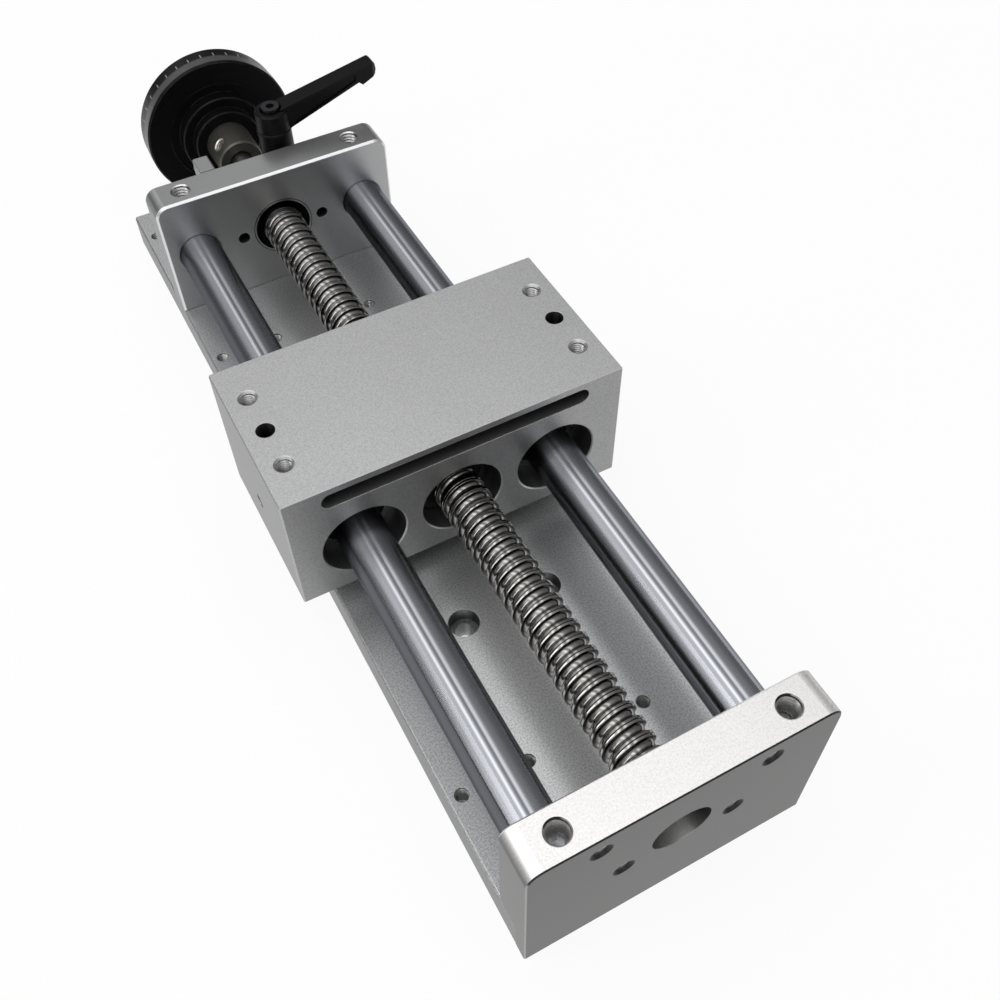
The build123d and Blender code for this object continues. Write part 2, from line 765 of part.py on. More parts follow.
with BuildPart() as clamp_plate_screws:
    rear_cap_screw(
        fixing_x,
        axis_height,
        clamp_back - fixing_head,
        drive_outer - clamp_screw_reach,
        fixing_screw,
        m5_head,
        fixing_head - 0.2,
    )
    rear_cap_screw(
        ear_screw_x,
        ear_screw_z,
        drive_outer + ear_depth,
        drive_outer - clamp_screw_reach,
        m3,
        m3_head,
        m3,
    )
finish(clamp_plate_screws.part, "clamp_plate_screws")

# ---------------------------------------------------------------- clamping lever

barrel_foot = clamp_height + washer_thickness
insert_radius = 4.2
insert_neck = 3.6
insert_height = 11.0
teeth = 12
tooth = 0.9
tooth_height = 2.8  # less than the lift, so a raised handle turns freely
socket_radius = 5.0
web = 3.0
web_bottom = barrel_foot + insert_height
web_top = web_bottom + web
barrel_top = barrel_foot + air + barrel_height
head_radius = 3.5
head_height = 3.4
head_top = barrel_top + head_stand
head_bottom = head_top - head_height
well_radius = 4.2

with BuildPart() as lever_washer:
    pin(lever_x, lever_y, clamp_height, barrel_foot, washer_radius)
    pin(lever_x, lever_y, clamp_height, barrel_foot, m6 / 2 + air, Mode.SUBTRACT)
finish(lever_washer.part, "lever_washer")


def toothed(z, grow):
    """Serrated section of the insert's head at z, or of its socket when grown."""
    with BuildSketch(Plane.XY.offset(z)) as section:
        with Locations((lever_x, lever_y)):
            Circle(insert_radius + grow)
            with PolarLocations(insert_radius, teeth):
                Rectangle(tooth + 2 * grow, tooth + 2 * grow, rotation=45)
    return section.sketch


# Serrated steel insert with its stud. Lifting the handle frees it from the teeth.
with BuildPart() as lever_insert:
    pin(lever_x, lever_y, barrel_foot, web_bottom, insert_neck)
    extrude(toothed(web_bottom - tooth_height, 0), amount=tooth_height)
    pin(lever_x, lever_y, clamp_height - stud_depth, barrel_foot, m5 / 2)
    pin(lever_x, lever_y, web_bottom - insert_bore_depth, web_bottom, m4 / 2 + slip, Mode.SUBTRACT)
finish(lever_insert.part, "lever_insert")

barrel_axis = Axis((lever_x, lever_y, 0), (0, 0, 1))
barrel_plane = Plane(origin=(lever_x, lever_y, 0), x_dir=(1, 0, 0), z_dir=(0, -1, 0))
bead_bottom = barrel_foot + air + skirt_height
bead_top = bead_bottom + bead_height
arm_root = barrel_neck / 2 - 1  # where the arm leaves the boss's top
arm_rise = tan(radians(arm_slope))
grip_start = arm_length - grip_length
arm_foot = barrel_top + arm_stand


def arm_top(x):
    """Height of the arm's top face at x from the lever's axis."""
    return arm_foot + (x - arm_root) * arm_rise


def arm_side(inset, start, end):
    """Side outline of the arm between two stations, drawn in from its edges by inset."""
    with BuildSketch(barrel_plane) as section:
        with BuildLine():
            Polyline(
                (start, arm_top(start) - inset),
                (end, arm_top(end) - inset),
                (end, arm_top(end) - arm_end_depth + inset),
                (start, arm_top(start) - arm_root_depth + inset),
                close=True,
            )
        make_face()
    return section.sketch


with BuildPart() as clamp_lever:
    # Tapered barrel: plain skirt, a bead, and a boss that narrows to the top.
    with BuildSketch(barrel_plane):
        with BuildLine():
            Polyline(
                (0, barrel_foot + air),
                (barrel_bottom / 2, barrel_foot + air),
                (barrel_skirt / 2, bead_bottom),
                (barrel_bead / 2, bead_bottom + 0.3),
                (barrel_bead / 2, bead_top - 0.3),
                (barrel_skirt / 2, bead_top),
                (barrel_neck / 2 + 0.2, barrel_top - 0.6),
                (barrel_neck / 2 - 0.4, barrel_top),
                (0, barrel_top),
                close=True,
            )
        make_face()
    revolve(axis=barrel_axis)
    # Arm: one tapering blank, with a deeper grip at its end.
    shank = extrude(arm_side(0, 2, grip_start), amount=arm_root_width / 2, both=True, mode=Mode.PRIVATE)
    with BuildSketch(barrel_plane, mode=Mode.PRIVATE) as grip_side:
        with BuildLine():
            tip = arm_length - 1.2
            Polyline(
                (grip_start, arm_top(grip_start)),
                (tip, arm_top(tip)),
                (tip + 0.8, arm_top(tip) - 0.9),
                (arm_length, arm_top(tip) - 3.4),
                (tip + 0.6, arm_top(tip) - grip_depth + 1.6),
                (grip_start + 1.6, arm_top(grip_start) - grip_depth + 0.3),
                (grip_start, arm_top(grip_start) - arm_end_depth),
                close=True,
            )
        make_face()
    grip = extrude(grip_side.sketch, amount=arm_root_width / 2, both=True, mode=Mode.PRIVATE)
    with BuildSketch(Plane((lever_x, lever_y, barrel_foot)), mode=Mode.PRIVATE) as arm_plan:
        with BuildLine():
            Polyline(
                (2, -arm_root_width / 2),
                (tip - 0.6, -arm_tip_width / 2),
                (arm_length, 1.4 - arm_tip_width / 2),
                (arm_length, arm_tip_width / 2 - 1.4),
                (tip - 0.6, arm_tip_width / 2),
                (2, arm_root_width / 2),
                close=True,
            )
        make_face()
    plan_solid = extrude(arm_plan.sketch, amount=arm_length, mode=Mode.PRIVATE)
    add((shank + grip) & plan_solid)
    # A sunk panel on each side leaves a rim along the arm.
    panel = arm_side(panel_inset, barrel_bead / 2 + panel_inset, grip_start - panel_inset)
    for side in (-1, 1):
        slab = extrude(panel, amount=side * arm_root_width, mode=Mode.PRIVATE)
        core = extrude(panel, amount=side * (arm_tip_width / 2 - panel_depth), mode=Mode.PRIVATE)
        add(slab - core, mode=Mode.SUBTRACT)
    # Socket for the insert, hole for the retaining screw, and the well for its spring.
    pin(lever_x, lever_y, barrel_foot, web_bottom - tooth_height, socket_radius, Mode.SUBTRACT)
    extrude(toothed(web_bottom - tooth_height, 0.12), amount=tooth_height, mode=Mode.SUBTRACT)
    pin(lever_x, lever_y, web_bottom, web_top, m4 / 2 + air, Mode.SUBTRACT)
    pin(lever_x, lever_y, web_top, barrel_top + well_radius, well_radius, Mode.SUBTRACT)
finish(clamp_lever.part, "clamp_lever")

with BuildPart() as lever_screw:
    pin(lever_x, lever_y, head_bottom, head_top, head_radius)
    pin(lever_x, lever_y, web_bottom - 6, head_bottom, m4 / 2)
    with BuildSketch(Plane.XY.offset(head_top)):
        with Locations((lever_x, lever_y)):
            RegularPolygon(1.5, 6, major_radius=False)
    extrude(amount=-1.8, mode=Mode.SUBTRACT)
finish(lever_screw.part, "lever_screw")

spring_wire = 0.6

# The coil spring between the web and the screw head, as the sleeve that it fills.
spring_mean = (m4 / 2 + air + well_radius) / 2
with BuildPart() as lever_spring:
    pin(lever_x, lever_y, web_top, head_bottom, spring_mean + spring_wire / 2)
    pin(lever_x, lever_y, web_top, head_bottom, spring_mean - spring_wire / 2, Mode.SUBTRACT)
finish(lever_spring.part, "lever_spring")
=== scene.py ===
# %% [markdown]
# # A manual linear stage with its finishes
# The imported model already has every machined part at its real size. This lesson loads it,
# sets up a camera and a plain studio and gives each part its finish. Then it adds the detail
# that a thread roller, a tap and a dial engraver leave: the rolled ball thread, the threads
# in the tapped holes and the dial's graduations. Everything is in metres, with +Z up and +Y
# along the travel towards the handwheel.

import json
import math

import bmesh
import bpy
from mathutils import Matrix, Vector


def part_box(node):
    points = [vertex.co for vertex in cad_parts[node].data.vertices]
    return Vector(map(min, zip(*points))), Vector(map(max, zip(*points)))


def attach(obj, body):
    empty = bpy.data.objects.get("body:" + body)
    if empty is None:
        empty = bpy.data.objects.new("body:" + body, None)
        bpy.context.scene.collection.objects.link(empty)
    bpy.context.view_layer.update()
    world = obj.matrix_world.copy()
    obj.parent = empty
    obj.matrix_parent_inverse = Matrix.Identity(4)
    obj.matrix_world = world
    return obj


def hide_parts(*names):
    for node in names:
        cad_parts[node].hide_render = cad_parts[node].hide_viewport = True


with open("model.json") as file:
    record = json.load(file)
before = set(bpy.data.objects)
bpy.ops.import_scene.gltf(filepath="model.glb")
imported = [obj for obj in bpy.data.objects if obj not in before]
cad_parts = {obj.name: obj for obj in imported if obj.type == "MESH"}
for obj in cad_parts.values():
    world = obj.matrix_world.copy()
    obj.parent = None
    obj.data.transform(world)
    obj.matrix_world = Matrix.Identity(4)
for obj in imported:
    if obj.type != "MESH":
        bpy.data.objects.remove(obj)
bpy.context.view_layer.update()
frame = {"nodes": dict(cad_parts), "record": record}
nodes = frame["nodes"]
MM = 0.001

# %% [markdown]
# ## Camera
# The stage is seen from above its idle end, looking along the travel towards the wheel. A
# camera's own axes are right, up and back, so three directions in the stage's frame are
# enough to turn it. The lens is given by its focal length on a 36 mm sensor.

# %% Aim the camera
FOCAL_PX, FRAME_PX, SENSOR_MM = 1111.9, 1000, 36.0
CAMERA_PLACE = Vector((-89.86, -220.29, 319.39)) * MM
LOOK_RIGHT = Vector((0.879624, -0.475523, -0.011779))
LOOK_DOWN = Vector((-0.383543, -0.694397, -0.608858))
LOOK_AHEAD = Vector((0.281347, 0.540084, -0.793192))

lens = bpy.data.cameras.new("camera")
lens.sensor_width = SENSOR_MM
lens.lens = FOCAL_PX / FRAME_PX * SENSOR_MM
lens.clip_start, lens.clip_end = 0.01, 20.0
camera = bpy.data.objects.new("camera", lens)
bpy.context.scene.collection.objects.link(camera)
turn = Matrix((LOOK_RIGHT, -LOOK_DOWN, -LOOK_AHEAD)).transposed().to_4x4()
camera.matrix_world = Matrix.Translation(CAMERA_PLACE) @ turn
bpy.context.scene.camera = camera
bpy.context.scene.view_settings.view_transform = "Standard"
print("lens", round(lens.lens, 2), "mm")

# %% [markdown]
# ## Node helpers
# A finish is a small network of shader nodes. Two helpers keep each network short: one
# makes an empty material, the other adds a node with its settings and socket values.

# %% Materials and nodes


def new_material(name):
    """An empty node material with its shader and output linked."""
    mat = bpy.data.materials.new(name)
    mat.use_nodes = True
    tree = mat.node_tree
    tree.nodes.clear()
    out = tree.nodes.new("ShaderNodeOutputMaterial")
    shader = tree.nodes.new("ShaderNodeBsdfPrincipled")
    tree.links.new(shader.outputs[0], out.inputs["Surface"])
    return mat, tree, shader


def add_node(tree, kind, inputs=(), **settings):
    """A node of that kind, with its settings and the values of its sockets."""
    node = tree.nodes.new("ShaderNode" + kind)
    for key, value in settings.items():
        setattr(node, key, value)
    for key, value in dict(inputs).items():
        node.inputs[key].default_value = value
    return node


print("node helpers:", new_material.__name__, add_node.__name__)

# %% [markdown]
# Most of a network is arithmetic on grey values. A Math node could be written out each
# time; a helper that takes sockets and numbers alike reads more like a formula. A Color
# Ramp turns one grey into another along straight lines between its stops.

# %% Sums and ramps


def math_node(tree, operation, *values):
    """A Math node on one to three values; each is an output socket or a number."""
    node = add_node(tree, "Math", operation=operation)
    for socket, value in zip(node.inputs, values):
        if isinstance(value, (int, float)):
            socket.default_value = value
        else:
            tree.links.new(value, socket)
    return node.outputs[0]


def ramp_node(tree, factor, stops):
    """A Color Ramp read at `factor`; stops are (position, grey) pairs."""
    node = add_node(tree, "ValToRGB")
    ramp = node.color_ramp
    while len(ramp.elements) < len(stops):
        ramp.elements.new(0.5)
    for element, (position, grey) in zip(ramp.elements, stops):
        element.position = position
        element.color = (grey, grey, grey, 1)
    tree.links.new(factor, node.inputs[0])
    return node.outputs[0]


def axes_of(tree, vector):
    """The X, Y and Z sockets of a vector socket."""
    parts = add_node(tree, "SeparateXYZ")
    tree.links.new(vector, parts.inputs[0])
    return parts.outputs["X"], parts.outputs["Y"], parts.outputs["Z"]


print("grey helpers:", math_node.__name__, ramp_node.__name__, axes_of.__name__)

# %% [markdown]
# ## Studio
# Bright metal has almost no colour of its own: it shows the room. The stage lies under a
# long ceiling light, with dim walls to its left and right, so each rod carries a bright
# band between two dark ones. The world is drawn as a function of two angles: how far a
# direction leans sideways from straight up, and how far it leans along the travel.

# %% Brightness of the room
CEILING = 2.3  # the radiance that both tables below multiply
# sideways lean in degrees (left is negative) and the share of the ceiling's brightness
SIDEWAYS = (
    (-95, 0.05),
    (-76, 0.09),
    (-58, 0.15),
    (-52, 0.40),
    (-36, 0.58),
    (-22, 0.60),
    (-17, 1.25),
    (-11, 1.15),
    (-6, 0.50),
    (2, 0.22),
    (7, 0.26),
    (12, 0.85),
    (19, 0.80),
    (25, 0.36),
    (33, 0.22),
    (46, 0.19),
    (64, 0.12),
    (95, 0.08),
)
# sine of the lean along the travel and the share of the brightness there
LENGTHWISE = (
    (-1.0, 0.40),
    (-0.6, 1.0),
    (-0.1, 1.0),
    (0.28, 1.0),
    (0.64, 0.56),
    (0.81, 0.35),
    (1.0, 0.14),
)
print("room:", len(SIDEWAYS), "sideways and", len(LENGTHWISE), "lengthwise stops")

# %% [markdown]
# A direction's lean sideways is the arc tangent of its X over its Z. Both leans are brought
# to the range from 0 to 1, where a ramp can be read, and the two ramps are multiplied.

# %% World
world = bpy.data.worlds.new("studio")
bpy.context.scene.world = world
world.use_nodes = True
sky = world.node_tree
sky.nodes.clear()
sky_out = sky.nodes.new("ShaderNodeOutputWorld")
room = add_node(sky, "Background", {"Color": (1.0, 1.0, 1.0, 1)})
look_x, look_y, look_z = axes_of(sky, add_node(sky, "TexCoord").outputs["Generated"])
turns = math_node(
    sky, "MULTIPLY_ADD", math_node(sky, "ARCTAN2", look_x, look_z), 0.5 / math.pi, 0.5
)
sideways = ramp_node(sky, turns, [((a + 180) / 360, v) for a, v in SIDEWAYS])
along = math_node(sky, "MULTIPLY_ADD", look_y, 0.5, 0.5)
lengthwise = ramp_node(sky, along, [((s + 1) / 2, v) for s, v in LENGTHWISE])
level = math_node(sky, "MULTIPLY", sideways, lengthwise)
sky.links.new(math_node(sky, "MULTIPLY", level, CEILING), room.inputs["Strength"])
sky.links.new(room.outputs[0], sky_out.inputs[0])
print("world has", len(sky.nodes), "nodes")

# %% [markdown]
# ## Floor
# The floor is white paper. A camera ray, a mirror ray and a ray through glass all find it
# nearly white, and the rest of its light is real, so the shadow under the stage stays.

# %% Paper
FLOOR_WHITE = 0.92
FLOOR_SHINE = 0.90  # share of the paper's look that doesn't depend on the lamps

paper, paper_tree, paper_shader = new_material("paper_floor")
paper_shader.inputs["Base Color"].default_value = (FLOOR_WHITE, FLOOR_WHITE, FLOOR_WHITE, 1)
paper_shader.inputs["Roughness"].default_value = 0.9
rays = add_node(paper_tree, "LightPath").outputs
paper_glow = add_node(paper_tree, "Emission", {"Color": (1, 1, 1, 1), "Strength": 1.0})
paper_mix = add_node(paper_tree, "MixShader")
seen = math_node(paper_tree, "MAXIMUM", rays["Is Camera Ray"], rays["Is Glossy Ray"])
seen = math_node(paper_tree, "MAXIMUM", seen, rays["Is Transmission Ray"])
paper_tree.links.new(math_node(paper_tree, "MULTIPLY", seen, FLOOR_SHINE), paper_mix.inputs[0])
paper_tree.links.new(paper_shader.outputs[0], paper_mix.inputs[1])
paper_tree.links.new(paper_glow.outputs[0], paper_mix.inputs[2])
paper_out = next(n for n in paper_tree.nodes if n.type == "OUTPUT_MATERIAL")
paper_tree.links.new(paper_mix.outputs[0], paper_out.inputs["Surface"])
print("paper is", FLOOR_WHITE, "white")

# %% [markdown]
# The sheet is one square, six metres wide, a hair under the base plate so that the two
# faces never fight for the same place. It belongs to the studio and not to the stage.

# %% Floor sheet
FLOOR_HALF = 3.0
FLOOR_DROP = 0.2 * MM

floor_mesh = bpy.data.meshes.new("floor")
bm = bmesh.new()
bmesh.ops.create_grid(bm, x_segments=1, y_segments=1, size=FLOOR_HALF)
bm.to_mesh(floor_mesh)
bm.free()
floor = bpy.data.objects.new("floor", floor_mesh)
floor.location = (0, 0, -FLOOR_DROP)
floor_mesh.materials.append(paper)
bpy.context.scene.collection.objects.link(floor)
print("floor at", round(floor.location.z / MM, 2), "mm")

# %% [markdown]
# ## Soft lamp
# Black parts need something to shine with. The room gives them a broad sheen, and one long
# strip lamp to the left draws a softer highlight along the lever and the wheel's rim.

# %% Strip lamp
STRIP_PLACE = Vector((-0.9, 0.1, 0.6))
STRIP_AIM = Vector((0, 0, 0.03))
STRIP_SIZE, STRIP_WATTS = (0.2, 0.9), 2.0

strip = bpy.data.lights.new("left_strip", "AREA")
strip.shape = "RECTANGLE"
strip.size, strip.size_y = STRIP_SIZE
strip.energy = STRIP_WATTS
strip_holder = bpy.data.objects.new("left_strip", strip)
strip_holder.location = STRIP_PLACE
strip_holder.rotation_euler = (STRIP_AIM - STRIP_PLACE).to_track_quat("-Z", "Y").to_euler()
bpy.context.scene.collection.objects.link(strip_holder)
print("strip lamp of", STRIP_WATTS, "W")

# %% [markdown]
# ## Where a surface is hollow, and where it has an edge
# Two ray-traced nodes find features that no texture knows of. Ambient Occlusion, read on
# the piece alone, is low inside a bore or a slot and one on an open face, and it paints shade
# on such walls. Bevel gives the normal of a slightly rounded edge. Where that normal departs
# from the flat one there is a broken edge, which gets a painted highlight.

# %% Hollows and edges
HOLLOW_REACH = 60 * MM
EDGE_RADIUS = 0.28 * MM


def painted_hollow_shade(tree, darkest, half_open, open_at):
    """Painted shade: `darkest` deep in a hollow, rising to 1 where the surface is as open as
    `open_at`.
    """
    reach = {"Distance": HOLLOW_REACH}
    shade = add_node(tree, "AmbientOcclusion", reach, samples=6, only_local=True)
    stops = [(0.10, darkest), (half_open, 0.5 + darkest / 2), (open_at, 1.0)]
    return ramp_node(tree, shade.outputs["AO"], stops)


def rounded_normal(tree):
    """The normal with its edges rounded, and how far it departs from the flat one (0 to 1)."""
    rounded = add_node(tree, "Bevel", {"Radius": EDGE_RADIUS}, samples=4).outputs[0]
    flat = add_node(tree, "NewGeometry").outputs["Normal"]
    same = add_node(tree, "VectorMath", operation="DOT_PRODUCT")
    tree.links.new(rounded, same.inputs[0])
    tree.links.new(flat, same.inputs[1])
    return rounded, ramp_node(tree, same.outputs["Value"], [(0.80, 1.0), (0.97, 0.0)])


print("hollows read to", round(HOLLOW_REACH / MM), "mm")
print("edges rounded by", round(EDGE_RADIUS / MM, 2), "mm")

# %% [markdown]
# ## What all finishes share
# Each finish is a colour times a grey pattern, a roughness that follows a noise, and most
# have a slight bump from the same noise. The noise is read in the stage's own coordinates,
# so that it keeps its size on every piece and moves with the piece.

# %% Helpers for finishes
BLOBS_PER_UNIT = 2.6  # a noise of scale 1 has about this many blobs in one unit


def noise_node(tree, place, **values):
    """The grey of a noise that is read at `place`, with the noise's sockets by name."""
    node = add_node(tree, "TexNoise", values)
    tree.links.new(place, node.inputs["Vector"])
    return node.outputs["Fac"]


def set_paint(tree, shader, color, tone):
    """Gives the shader a colour that is multiplied by a grey socket."""
    mix = add_node(tree, "Mix", data_type="RGBA", blend_type="MULTIPLY")
    mix.inputs["Factor"].default_value = 1.0
    mix.inputs["A"].default_value = (*color, 1)
    tree.links.new(tone, mix.inputs["B"])
    tree.links.new(mix.outputs["Result"], shader.inputs["Base Color"])


def set_roughness(tree, shader, noise, swing, lowest):
    """Makes the roughness `lowest` plus `swing` times a noise."""
    level = math_node(tree, "MULTIPLY_ADD", noise, swing, lowest)
    tree.links.new(level, shader.inputs["Roughness"])


def set_relief(tree, shader, height, strength, depth):
    """Adds a bump from a height socket, `depth` metres deep, and returns its node."""
    bump = add_node(tree, "Bump", {"Strength": strength, "Distance": depth})
    tree.links.new(height, bump.inputs["Height"])
    tree.links.new(bump.outputs[0], shader.inputs["Normal"])
    return bump


print("finish helpers:", set_paint.__name__, set_roughness.__name__, set_relief.__name__)

# %% [markdown]
# ## Blasted and anodised aluminium
# The plates and the carriage are bead-blasted before they are anodised. That leaves a
# satin metal with a fine grain, a fifth of a millimetre across, which shows faintly in the
# colour and as a slight bump. Each plate also carries painted shade in its colour: a darker
# tone for the faces that point along X and one for those that point along -Y. The chamfers
# of a front face lie between that face and its neighbours, and carry a painted highlight of
# their own, which on the idle end plate is painted shade instead.

# %% Tones of upright faces
TURNED_AWAY, SQUARE_ON = 0.5, 0.95  # share of the normal at which a face's tone starts, ends
# where a front face's chamfers take a painted highlight, or on the idle end plate painted shade
CHAMFER = [(0.45, 0.0), (0.60, 1.0), (0.80, 1.0), (0.93, 0.0)]
PLATE_MIDDLE = [(0.43, 1), (0.45, 0)]  # distance from the middle, in tenths of a metre
LEANS_UP = [(0.2, 0.0), (0.45, 1.0)]


def painted_face_shade(tree, tone, facing, share):
    """Painted shade: multiplies a tone by `share` where the face points squarely that way."""
    stops = [(TURNED_AWAY, 1.0), (SQUARE_ON, share)]
    return math_node(tree, "MULTIPLY", tone, ramp_node(tree, facing, stops))


def off_side_edges(tree, chamfer, place, normal_z):
    """Keeps a chamfer's painted shade off the plate's two upright edges."""
    across, _, _ = axes_of(tree, place)
    tenths = math_node(tree, "MULTIPLY", math_node(tree, "ABSOLUTE", across), 10)
    inside = ramp_node(tree, tenths, PLATE_MIDDLE)
    upward = ramp_node(tree, normal_z, LEANS_UP)
    return math_node(tree, "MULTIPLY", chamfer, math_node(tree, "MAXIMUM", inside, upward))


print("face tones:", painted_face_shade.__name__, off_side_edges.__name__)

# %% [markdown]
# The finish multiplies its tones in turn: grain, a slow drift, then painted shade in hollows
# and on upright faces. Then it adds the chamfers and the broken edges as painted highlights.
# On the idle end plate the chamfers are painted darker instead, as painted shade.

# %% Anodised finish
SPECKLE = 0.20 * MM
DRIFT_SCALE = 22.0
LOWEST_TONE = 0.05


def anodised(
    name,
    color,
    roughness=0.34,
    grit=0.10,
    sides=0.45,
    front_shade=0.85,
    breaks=0.15,
    edge_highlight=0.35,
    bump=0.15,
    opens=(0.45, 0.70),
    darkest=0.09,
):
    """Blasted aluminium: fine grain, painted shade in hollows and upright faces, painted tones on
    chamfers and edges.
    """
    mat, tree, shader = new_material(name)
    place = add_node(tree, "TexCoord").outputs["Object"]
    grain_scale = 1 / SPECKLE / BLOBS_PER_UNIT
    grain = noise_node(tree, place, Scale=grain_scale, Detail=1.5, Roughness=0.6)
    cloud = noise_node(tree, place, Scale=DRIFT_SCALE, Detail=3.0)
    speck = ramp_node(tree, grain, [(0.32, 1 - 1.6 * grit), (0.5, 1.0), (0.68, 1 + grit)])
    drift = ramp_node(tree, cloud, [(0.3, 0.98), (0.7, 1.02)])
    rounded, edge = rounded_normal(tree)
    normal = add_node(tree, "NewGeometry").outputs["Normal"]
    normal_x, normal_y, normal_z = axes_of(tree, normal)
    front_face = math_node(tree, "MULTIPLY", normal_y, -1.0)
    tone = math_node(tree, "MULTIPLY", speck, drift)
    # painted shade in bores, slots and other hollows
    tone = math_node(tree, "MULTIPLY", tone, painted_hollow_shade(tree, darkest, *opens))
    # painted shade on faces that point along X and along -Y
    tone = painted_face_shade(tree, tone, math_node(tree, "ABSOLUTE", normal_x), sides)
    tone = painted_face_shade(tree, tone, front_face, front_shade)
    # painted highlight on the chamfers of a front face, painted shade where breaks is negative
    chamfer = ramp_node(tree, front_face, CHAMFER)
    if breaks < 0:
        chamfer = off_side_edges(tree, chamfer, place, normal_z)
    tone = math_node(tree, "ADD", tone, math_node(tree, "MULTIPLY", chamfer, breaks))
    # painted highlight along broken edges
    tone = math_node(tree, "ADD", tone, math_node(tree, "MULTIPLY", edge, edge_highlight))
    set_paint(tree, shader, color, math_node(tree, "MAXIMUM", tone, LOWEST_TONE))
    shader.inputs["Metallic"].default_value = 0.9
    set_roughness(tree, shader, grain, 0.10, roughness - 0.05)
    relief = set_relief(tree, shader, grain, bump, 0.03 * MM)
    tree.links.new(rounded, relief.inputs["Normal"])
    return mat


print("grain of", round(SPECKLE / MM, 2), "mm")

# %% [markdown]
# The idle end plate is painted the whitest, as painted light, and the drive end plate the
# darkest and smoothest, its darker colour painted shade, while the base has the coarsest grain.

# %% Shades of aluminium
# each plate below also takes painted shade on its upright faces and painted tones on its chamfers
# and edges
ALUMINIUM = anodised(
    "blasted_anodised", (0.60, 0.602, 0.604), 0.42, sides=0.46, front_shade=0.57, edge_highlight=0.6
)
IDLE_PLATE = anodised(
    "idle_plate_anodised",
    (0.93, 0.917, 0.91),
    0.42,
    grit=0.07,
    sides=0.19,
    front_shade=0.14,
    breaks=-0.72,
    edge_highlight=0.0,
    opens=(0.65, 0.92),
)
DRIVE_PLATE = anodised(
    "drive_plate_anodised",
    (0.45, 0.453, 0.457),
    grit=0.03,
    sides=0.33,
    front_shade=0.92,
    breaks=0.9,
    edge_highlight=0.1,
)
BASE_PLATE = anodised(
    "base_anodised", (0.62, 0.626, 0.63), 0.38, grit=0.20, sides=0.27, bump=0.25
)
print("anodised:", ALUMINIUM.name, IDLE_PLATE.name, DRIVE_PLATE.name, BASE_PLATE.name)

# %% [markdown]
# ## Turned and ground steel
# A turned part has fine lines round it. They come from a noise that is stretched round the
# part, so that it varies along Y only. A ground and chromed rod is smoother, and what it
# mirrors is drawn out: that is anisotropy, whose direction comes from a Tangent about Y.

# %% Turned metal
LINE_WIDTH = 0.05 * MM
ROUND_SCALE = 20.0  # how fast the noise changes across X and Z
PATCH_SCALE = 160.0  # of the patches where an edge gets a painted highlight


def turned_metal(
    name, color, roughness, depth=0.1, metallic=1.0, change=0.06, drawn=0.0, gloss=0.5, edge_highlight=0.0
):
    """Metal with lines round the Y axis; `drawn` stretches its reflections along Y."""
    mat, tree, shader = new_material(name)
    place = add_node(tree, "TexCoord").outputs["Object"]
    stretch = add_node(tree, "Mapping")
    stretch.inputs["Scale"].default_value = (ROUND_SCALE, 1 / LINE_WIDTH / 4, ROUND_SCALE)
    tree.links.new(place, stretch.inputs[0])
    rings = noise_node(tree, stretch.outputs[0], Scale=1.0, Detail=2.0)
    tone = ramp_node(tree, rings, [(0.3, 1 - change), (0.7, 1 + change)])
    # painted highlight along broken edges, in patches
    if edge_highlight:
        patches = noise_node(tree, place, Scale=PATCH_SCALE, Detail=1.0)
        patchy_highlight = ramp_node(tree, patches, [(0.42, 0.15 * edge_highlight), (0.58, edge_highlight)])
        painted_edge_highlight = math_node(tree, "MULTIPLY", rounded_normal(tree)[1], patchy_highlight)
        tone = math_node(tree, "ADD", tone, painted_edge_highlight)
    set_paint(tree, shader, color, tone)
    shader.inputs["Metallic"].default_value = metallic
    shader.inputs["Specular IOR Level"].default_value = gloss
    if drawn:
        shader.inputs["Roughness"].default_value = roughness
        shader.inputs["Anisotropic"].default_value = drawn
        shader.inputs["Anisotropic Rotation"].default_value = 0.25
        around = add_node(tree, "Tangent", direction_type="RADIAL", axis="Y")
        tree.links.new(around.outputs[0], shader.inputs["Tangent"])
    else:
        set_roughness(tree, shader, rings, 0.5 * roughness, 0.75 * roughness)
        set_relief(tree, shader, rings, depth, 0.02 * MM)
    return mat


CHROME = turned_metal("hard_chrome", (0.40, 0.41, 0.44), 0.20, change=0.015, drawn=1.0)
ROLLED = turned_metal("rolled_steel", (0.36, 0.348, 0.335), 0.15, depth=0.08)
GROUND = turned_metal("ground_steel", (0.42, 0.42, 0.42), 0.28)
NUT_STEEL = turned_metal("nut_steel", (0.10, 0.10, 0.10), 0.34)
# the collar and the wheel carry painted highlights on their edges
COLLAR = turned_metal("hard_anodised", (0.12, 0.117, 0.10), 0.36, metallic=0.8, edge_highlight=1.2)
BLACK_WHEEL = turned_metal(
    "black_anodised", (0.004, 0.004, 0.0045), 0.28, metallic=0.0, gloss=0.13, edge_highlight=30.0
)
print("steel finishes:", CHROME.name, ROLLED.name, GROUND.name)

# %% [markdown]
# ## Finishes that change over a piece
# A finish may be multiplied by one more grey once it is made. The left flanks of the rods
# carry painted shade on their reflection, which follows how far the normal points to -X.
# Chrome's rim stays grey because its edge tint is lowered.

# %% Rods with a dark flank
# painted shade on the rods' left flanks
LEFT_FLANK_SHADE = [(0.62, 1.0), (0.80, 0.32), (0.96, 0.45)]
CHROME_EDGE = (0.35, 0.35, 0.37, 1)


def multiply_paint(mat, tone_socket):
    """Multiplies a finish's colour by a grey socket of the same node tree."""
    tree = mat.node_tree
    mix = next(n for n in tree.nodes if n.type == "MIX")
    before = mix.inputs["B"].links[0].from_socket
    tree.links.new(math_node(tree, "MULTIPLY", before, tone_socket), mix.inputs["B"])


